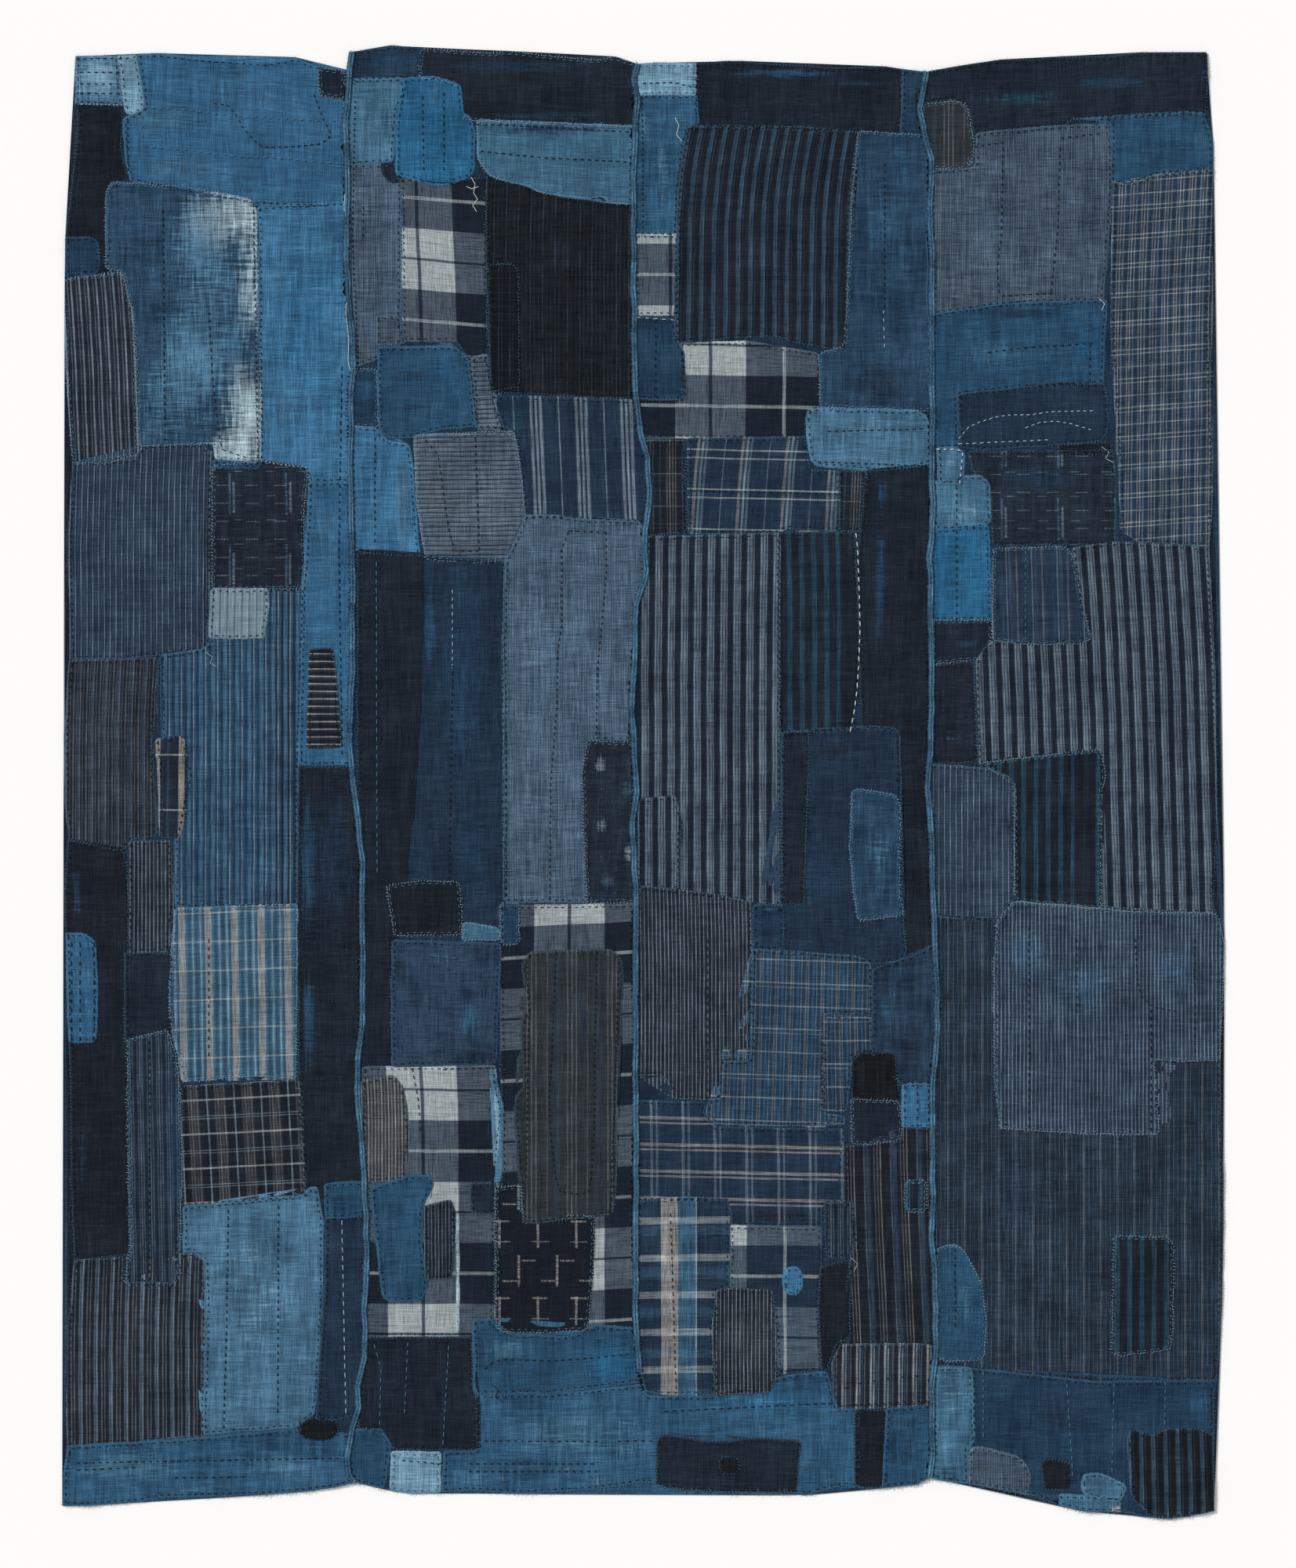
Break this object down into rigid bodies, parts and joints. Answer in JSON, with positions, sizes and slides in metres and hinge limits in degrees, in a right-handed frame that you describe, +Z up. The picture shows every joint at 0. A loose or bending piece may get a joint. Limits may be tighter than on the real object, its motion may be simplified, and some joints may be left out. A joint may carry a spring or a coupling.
{
  "type": "boro patched cloth",
  "caption": "Large patched indigo cotton quilt cover of sewn loom-width panels, lying flat, with raised seams, soft folds and an uneven outline.",
  "frame": {"origin": "on the surface under the middle of the laid cloth", "axes": "+X to the cloth's right edge, +Y to its top edge as seen face on, +Z up out of its face"},
  "size_m": [1.482, 1.8781, 0.0069],
  "materials": {
    "indigo_cotton": "matt, washed and worn"
  },
  "bodies": {
    "root": {"panel_first": "indigo_cotton", "panel_second": "indigo_cotton", "panel_third": "indigo_cotton", "panel_fourth": "indigo_cotton"}
  },
  "joints": []
}
